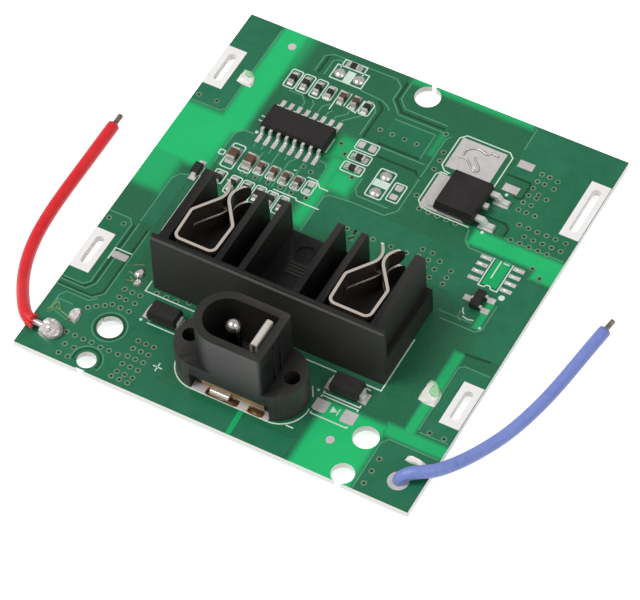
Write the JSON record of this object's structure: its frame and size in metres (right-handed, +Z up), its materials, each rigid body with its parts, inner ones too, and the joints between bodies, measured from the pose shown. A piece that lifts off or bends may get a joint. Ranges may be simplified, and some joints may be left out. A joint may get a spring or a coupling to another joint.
{
  "type": "battery management board",
  "caption": "Battery management board with a two-clip terminal block, a round charging jack, a controller chip, a power transistor and two soldered wires.",
  "frame": {"origin": "middle of the board in X and Y, at the height of the solder ends' tips", "axes": "+X along the terminal block, +Y from the jack's edge towards the controller, +Z up out of the board's top face"},
  "size_m": [0.0783, 0.0644, 0.0147],
  "materials": {
    "laminate": "glossy green solder mask",
    "tin": "bright solder and tinned copper",
    "block_plastic": "satin black moulding",
    "clip_steel": "nickel-plated spring steel",
    "jack_plastic": "satin black moulding",
    "phenolic": "tan laminate strip",
    "contact_metal": "plated contact",
    "chip_resin": "moulded black resin",
    "capacitor_ceramic": "brown ceramic",
    "resistor_glaze": "black glaze",
    "red_rubber": "smooth red silicone",
    "blue_rubber": "smooth blue silicone"
  },
  "bodies": {
    "root": {"circuit_board": "laminate", "slot_lands": "tin", "surface_pads": "tin", "terminal_block": "block_plastic", "left_clip": "clip_steel", "right_clip": "clip_steel", "jack_housing": "jack_plastic", "jack_base": "phenolic", "jack_pin": "contact_metal", "jack_spring": "contact_metal", "pin_lug": "contact_metal", "controller_body": "chip_resin", "controller_leads": "tin", "transistor_body": "chip_resin", "transistor_tab": "tin", "transistor_leads": "tin", "left_diode_body": "chip_resin", "left_diode_terminals": "tin", "right_diode_body": "chip_resin", "right_diode_terminals": "tin", "small_transistor_body": "chip_resin", "small_transistor_leads": "tin", "side_diode_body": "chip_resin", "side_diode_terminals": "tin", "capacitor_1": "capacitor_ceramic", "capacitor_2": "capacitor_ceramic", "capacitor_3": "capacitor_ceramic", "capacitor_4": "capacitor_ceramic", "capacitor_5": "capacitor_ceramic", "capacitor_6": "capacitor_ceramic", "resistor_1": "resistor_glaze", "resistor_2": "resistor_glaze", "resistor_3": "resistor_glaze", "resistor_4": "resistor_glaze", "resistor_5": "resistor_glaze", "resistor_6": "resistor_glaze", "rear_resistor_1": "resistor_glaze", "rear_resistor_2": "resistor_glaze", "rear_resistor_3": "resistor_glaze", "rear_resistor_4": "resistor_glaze", "rear_resistor_5": "resistor_glaze", "rear_capacitor": "capacitor_ceramic", "rear_chip": "capacitor_ceramic", "side_resistor_1": "resistor_glaze", "side_resistor_2": "resistor_glaze", "sensor_chip": "resistor_glaze", "chip_terminals": "tin", "thermistor_joints": "tin", "solder_bridges": "tin", "red_wire": "red_rubber", "blue_wire": "blue_rubber", "red_strand": "tin", "blue_strand": "tin", "red_joint": "tin", "blue_joint": "tin", "underside_joints": "tin"}
  },
  "joints": []
}
